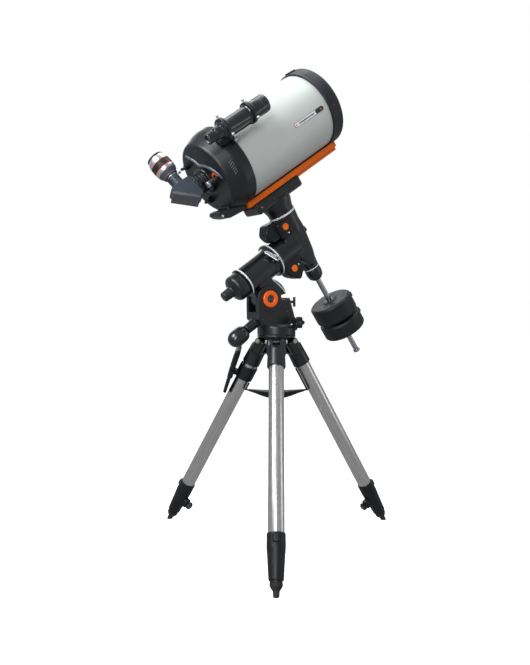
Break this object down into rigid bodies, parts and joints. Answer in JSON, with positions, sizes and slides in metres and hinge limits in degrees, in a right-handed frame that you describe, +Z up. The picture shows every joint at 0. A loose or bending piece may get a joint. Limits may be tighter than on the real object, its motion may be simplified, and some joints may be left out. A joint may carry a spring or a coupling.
{
  "type": "schmidt-cassegrain telescope",
  "caption": "Schmidt-Cassegrain telescope on a motorised German equatorial mount with counterweights, a finder, an eyepiece and a folding steel field tripod.",
  "frame": {"origin": "centre of the bounding box on the floor under the tripod feet", "axes": "+Z up, the front leg towards -Y, the tube aimed about 32 degrees from +X towards +Y and 34 degrees up"},
  "size_m": [0.8404, 0.7318, 1.6325],
  "materials": {
    "satin_black": "satin black powder coat",
    "gloss_black": "gloss black paint",
    "textured_black": "textured black paint",
    "weight_black": "textured black paint",
    "black_plastic": "fine grain black plastic",
    "charcoal": "charcoal texture paint",
    "pearl_silver": "pearl silver paint",
    "stainless_steel": "brushed",
    "chrome": "bright plated",
    "silver_anodised": "satin anodised",
    "orange_anodised": "orange anodised",
    "slate_grey": "slate grey anodised",
    "coated_glass": "coated clear glass",
    "mirror_silver": "front aluminised"
  },
  "bodies": {
    "tripod": {"tripod_head": "satin_black", "centre_rod": "stainless_steel"},
    "leg_front": {"leg_casting_front": "gloss_black", "leg_tube_front": "stainless_steel", "foot_clamp_front": "black_plastic"},
    "extension_front": {"leg_extension_front": "textured_black"},
    "leg_lock_front": {"leg_lock_knob_front": "black_plastic"},
    "leg_right": {"leg_casting_right": "gloss_black", "leg_tube_right": "stainless_steel", "foot_clamp_right": "black_plastic"},
    "extension_right": {"leg_extension_right": "textured_black"},
    "leg_lock_right": {"leg_lock_knob_right": "black_plastic"},
    "leg_left": {"leg_casting_left": "gloss_black", "leg_tube_left": "stainless_steel", "foot_clamp_left": "black_plastic", "hand_control_holder": "black_plastic"},
    "extension_left": {"leg_extension_left": "textured_black"},
    "leg_lock_left": {"leg_lock_knob_left": "black_plastic"},
    "hand_control": {"hand_control": "black_plastic"},
    "spreader_hub": {"spreader_knob": "black_plastic"},
    "spreader": {"leg_spreader": "satin_black"},
    "azimuth": {"azimuth_base": "satin_black", "altitude_pivot": "orange_anodised"},
    "azimuth_screw_right": {"azimuth_knob_right": "black_plastic"},
    "azimuth_screw_left": {"azimuth_knob_left": "black_plastic"},
    "rear_screw": {"rear_altitude_screw": "black_plastic"},
    "front_screw": {"front_altitude_screw": "silver_anodised"},
    "altitude": {"right_ascension_housing": "gloss_black"},
    "polar_port": {"polar_cap": "black_plastic"},
    "ra_clutch": {"ra_clutch_lever": "silver_anodised"},
    "right_ascension": {"declination_housing": "satin_black", "declination_motor_cover": "black_plastic", "ra_motor_cover": "black_plastic", "declination_end_cap": "satin_black", "counterweight_bar": "chrome"},
    "dec_clutch": {"dec_clutch_knob": "black_plastic"},
    "bar_stop": {"safety_stop": "chrome"},
    "upper_weight": {"counterweight_upper": "weight_black"},
    "lower_weight": {"counterweight_lower": "weight_black"},
    "upper_weight_lock": {"weight_lock_knob_upper": "black_plastic"},
    "lower_weight_lock": {"weight_lock_knob_lower": "black_plastic"},
    "declination": {"saddle": "satin_black"},
    "saddle_screw_rear": {"saddle_knob_rear": "black_plastic"},
    "saddle_screw_front": {"saddle_knob_front": "black_plastic"},
    "optical_tube": {"dovetail_bar": "orange_anodised", "tube": "pearl_silver", "front_ring": "charcoal", "corrector_plate": "coated_glass", "secondary_cell": "satin_black", "rear_casting": "satin_black", "baffle_tube": "textured_black", "visual_back": "satin_black", "finder_bracket": "satin_black", "finder_scope": "gloss_black"},
    "mirror_cell": {"primary_mirror": "mirror_silver"},
    "focuser": {"focus_knob": "black_plastic"},
    "mirror_clutch_a": {"mirror_clutch_upper": "satin_black"},
    "mirror_clutch_b": {"mirror_clutch_lower": "satin_black"},
    "diagonal": {"star_diagonal": "slate_grey"},
    "ocular": {"eyepiece": "black_plastic"}
  },
  "joints": [
    {"name": "leg_fold_front", "type": "hinge", "parent": "tripod", "child": "leg_front", "pos_m": [0, 0.06246, 0.7], "axis": [1, 0, 0], "range_deg": [0, 26]},
    {"name": "leg_fold_right", "type": "hinge", "parent": "tripod", "child": "leg_right", "pos_m": [0.04832, 0.14616, 0.7], "axis": [-0.5, 0.866, 0], "range_deg": [0, 26]},
    {"name": "leg_fold_left", "type": "hinge", "parent": "tripod", "child": "leg_left", "pos_m": [-0.04832, 0.14616, 0.7], "axis": [-0.5, -0.866, 0], "range_deg": [0, 26]},
    {"name": "spreader_drop", "type": "slide", "parent": "tripod", "child": "spreader_hub", "axis": [0, 0, -1], "range_m": [0, 0.281]},
    {"name": "spreader_turn", "type": "hinge", "parent": "spreader_hub", "child": "spreader", "pos_m": [0, 0.11826, 0.523], "axis": [0, 0, 1], "range_deg": [0, 61]},
    {"name": "leg_length_front", "type": "slide", "parent": "leg_front", "child": "extension_front", "axis": [0, -0.5135, -0.8581], "range_m": [0, 0.38]},
    {"name": "leg_lock_turn_front", "type": "hinge", "parent": "leg_front", "child": "leg_lock_front", "pos_m": [0, -0.26715, 0.06749], "axis": [0, 0.8581, -0.5135], "range_deg": [-90, 180]},
    {"name": "leg_length_right", "type": "slide", "parent": "leg_right", "child": "extension_right", "axis": [0.4447, 0.2568, -0.8581], "range_m": [0, 0.38]},
    {"name": "leg_lock_turn_right", "type": "hinge", "parent": "leg_right", "child": "leg_lock_right", "pos_m": [0.33377, 0.31096, 0.06749], "axis": [-0.7431, -0.429, -0.5135], "range_deg": [-90, 180]},
    {"name": "leg_length_left", "type": "slide", "parent": "leg_left", "child": "extension_left", "axis": [-0.4447, 0.2568, -0.8581], "range_m": [0, 0.38]},
    {"name": "leg_lock_turn_left", "type": "hinge", "parent": "leg_left", "child": "leg_lock_left", "pos_m": [-0.33377, 0.31096, 0.06749], "axis": [0.7431, -0.429, -0.5135], "range_deg": [-90, 180]},
    {"name": "hand_control_lift", "type": "slide", "parent": "leg_left", "child": "hand_control", "axis": [0.3158, -0.2675, 0.9103], "range_m": [0, 0.03]},
    {"name": "azimuth_turn", "type": "hinge", "parent": "tripod", "child": "azimuth", "pos_m": [0, 0.11826, 0.722], "axis": [0, 0, 1], "range_deg": [-8, 8]},
    {"name": "azimuth_screw_turn_right", "type": "hinge", "parent": "azimuth", "child": "azimuth_screw_right", "pos_m": [0.07367, 0.07585, 0.766], "axis": [0.5299, -0.848, 0], "range_deg": [-161, 161]},
    {"name": "azimuth_screw_turn_left", "type": "hinge", "parent": "azimuth", "child": "azimuth_screw_left", "pos_m": [-0.00582, 0.20306, 0.766], "axis": [-0.5299, 0.848, 0], "range_deg": [-161, 161]},
    {"name": "altitude_tilt", "type": "hinge", "parent": "azimuth", "child": "altitude", "pos_m": [-0.0424, 0.09176, 0.8458], "axis": [0.5299, -0.848, 0], "range_deg": [-14, 24]},
    {"name": "rear_screw_turn", "type": "hinge", "parent": "azimuth", "child": "rear_screw", "pos_m": [-0.10219, 0.0544, 0.7405], "axis": [-0.6861, -0.4287, -0.5878], "range_deg": [-281, 481]},
    {"name": "front_screw_turn", "type": "hinge", "parent": "azimuth", "child": "front_screw", "pos_m": [0.06233, 0.15721, 0.835], "axis": [0.848, 0.5299, 0], "range_deg": [-481, 281]},
    {"name": "polar_turn", "type": "hinge", "parent": "altitude", "child": "right_ascension", "pos_m": [0.0709, 0.16256, 1.0475], "axis": [0.7006, 0.4378, 0.5635], "range_deg": [-90, 90]},
    {"name": "polar_cap_pull", "type": "slide", "parent": "altitude", "child": "polar_port", "axis": [-0.7006, -0.4378, -0.5635], "range_m": [0, 0.06]},
    {"name": "ra_clutch_turn", "type": "hinge", "parent": "altitude", "child": "ra_clutch", "pos_m": [0.00133, 0.04212, 0.97935], "axis": [0.1962, -0.8774, 0.4378], "range_deg": [0, 40]},
    {"name": "declination_turn", "type": "hinge", "parent": "right_ascension", "child": "declination", "pos_m": [0.0709, 0.16256, 1.0475], "axis": [-0.4779, -0.2986, 0.8261], "range_deg": [-180, 180]},
    {"name": "dec_clutch_turn", "type": "hinge", "parent": "right_ascension", "child": "dec_clutch", "pos_m": [0.09172, 0.17557, 1.08604], "axis": [0.7006, 0.4378, 0.5635], "range_deg": [-60, 60]},
    {"name": "bar_stop_turn", "type": "hinge", "parent": "right_ascension", "child": "bar_stop", "pos_m": [0.0709, 0.16256, 1.0475], "axis": [-0.4779, -0.2986, 0.8261], "range_deg": [-180, 180]},
    {"name": "upper_weight_slide", "type": "slide", "parent": "right_ascension", "child": "upper_weight", "axis": [-0.4779, -0.2986, 0.8261], "range_m": [0, 0.07]},
    {"name": "lower_weight_slide", "type": "slide", "parent": "right_ascension", "child": "lower_weight", "axis": [0.4779, 0.2986, -0.8261], "range_m": [0, 0.05]},
    {"name": "upper_weight_lock_turn", "type": "hinge", "parent": "upper_weight", "child": "upper_weight_lock", "pos_m": [0.26103, 0.28136, 0.85726], "axis": [0.7006, 0.4378, 0.5635], "range_deg": [-90, 90]},
    {"name": "lower_weight_lock_turn", "type": "hinge", "parent": "lower_weight", "child": "lower_weight_lock", "pos_m": [0.29424, 0.30212, 0.79984], "axis": [0.7006, 0.4378, 0.5635], "range_deg": [-90, 90]},
    {"name": "tube_slide", "type": "slide", "parent": "declination", "child": "optical_tube", "axis": [0.7006, 0.4378, 0.5635], "range_m": [-0.04, 0.04]},
    {"name": "saddle_screw_turn_rear", "type": "hinge", "parent": "declination", "child": "saddle_screw_rear", "pos_m": [-0.09193, 0.13393, 1.16569], "axis": [-0.5299, 0.848, 0], "range_deg": [-90, 90]},
    {"name": "saddle_screw_turn_front", "type": "hinge", "parent": "declination", "child": "saddle_screw_front", "pos_m": [-0.00786, 0.18646, 1.23331], "axis": [-0.5299, 0.848, 0], "range_deg": [-90, 90]},
    {"name": "focus_turn", "type": "hinge", "parent": "optical_tube", "child": "focuser", "pos_m": [-0.1891, -0.07302, 1.22544], "axis": [-0.7006, -0.4378, -0.5635], "range_deg": [-1085, 1085]},
    {"name": "mirror_travel", "type": "slide", "parent": "optical_tube", "child": "mirror_cell", "axis": [0.7006, 0.4378, 0.5635], "range_m": [-0.006, 0.006]},
    {"name": "mirror_clutch_turn_upper", "type": "hinge", "parent": "optical_tube", "child": "mirror_clutch_a", "pos_m": [-0.29155, 0.01862, 1.28162], "axis": [-0.7006, -0.4378, -0.5635], "range_deg": [-90, 90]},
    {"name": "mirror_clutch_turn_lower", "type": "hinge", "parent": "optical_tube", "child": "mirror_clutch_b", "pos_m": [-0.21448, 0.0314, 1.17588], "axis": [-0.7006, -0.4378, -0.5635], "range_deg": [-90, 90]},
    {"name": "diagonal_turn", "type": "hinge", "parent": "optical_tube", "child": "diagonal", "pos_m": [-0.28673, -0.06091, 1.18302], "axis": [0.7006, 0.4378, 0.5635], "range_deg": [-110, 110]},
    {"name": "eyepiece_slide", "type": "slide", "parent": "diagonal", "child": "ocular", "axis": [-0.6664, 0.1189, 0.7361], "range_m": [0, 0.03]}
  ],
  "couplings": [
    {"joint": "leg_fold_right", "follows": "leg_fold_front", "ratio": 1},
    {"joint": "leg_fold_left", "follows": "leg_fold_front", "ratio": 1},
    {"joint": "spreader_drop", "follows": "leg_fold_front", "m_per_rad": 0.61703},
    {"joint": "spreader_turn", "follows": "leg_fold_front", "ratio": 2.3077},
    {"joint": "azimuth_screw_turn_right", "follows": "azimuth_turn", "ratio": 20},
    {"joint": "azimuth_screw_turn_left", "follows": "azimuth_turn", "ratio": -20},
    {"joint": "rear_screw_turn", "follows": "altitude_tilt", "ratio": 20},
    {"joint": "front_screw_turn", "follows": "altitude_tilt", "ratio": -20},
    {"joint": "focus_turn", "follows": "mirror_travel", "rad_per_m": 3141.6}
  ]
}
